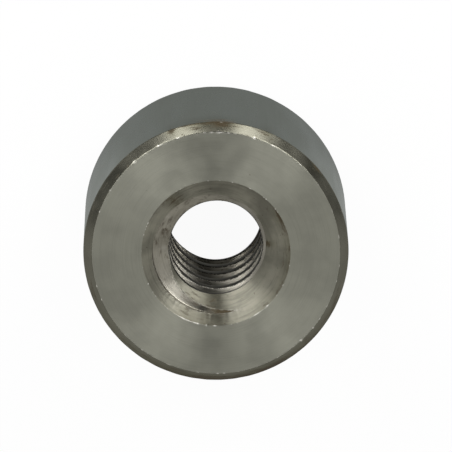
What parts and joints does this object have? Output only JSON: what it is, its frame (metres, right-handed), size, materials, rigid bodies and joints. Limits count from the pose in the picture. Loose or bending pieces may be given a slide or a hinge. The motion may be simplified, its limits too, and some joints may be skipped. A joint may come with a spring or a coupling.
{
  "type": "trapezoidal nut",
  "caption": "Round turned steel nut with a right-hand trapezoidal thread, a wide countersink at its front end and chamfered edges, for a lead screw.",
  "frame": {"origin": "middle of the back end face, on the thread's axis", "axes": "+Z along the thread's axis, from the back end to the countersunk front end; +X and +Y across the round body"},
  "size_m": [0.026, 0.026, 0.018],
  "materials": {
    "turned_steel": "plain turned steel with fine lathe rings, slight stains and specks of rust"
  },
  "bodies": {
    "root": {"nut": "turned_steel"}
  },
  "joints": []
}
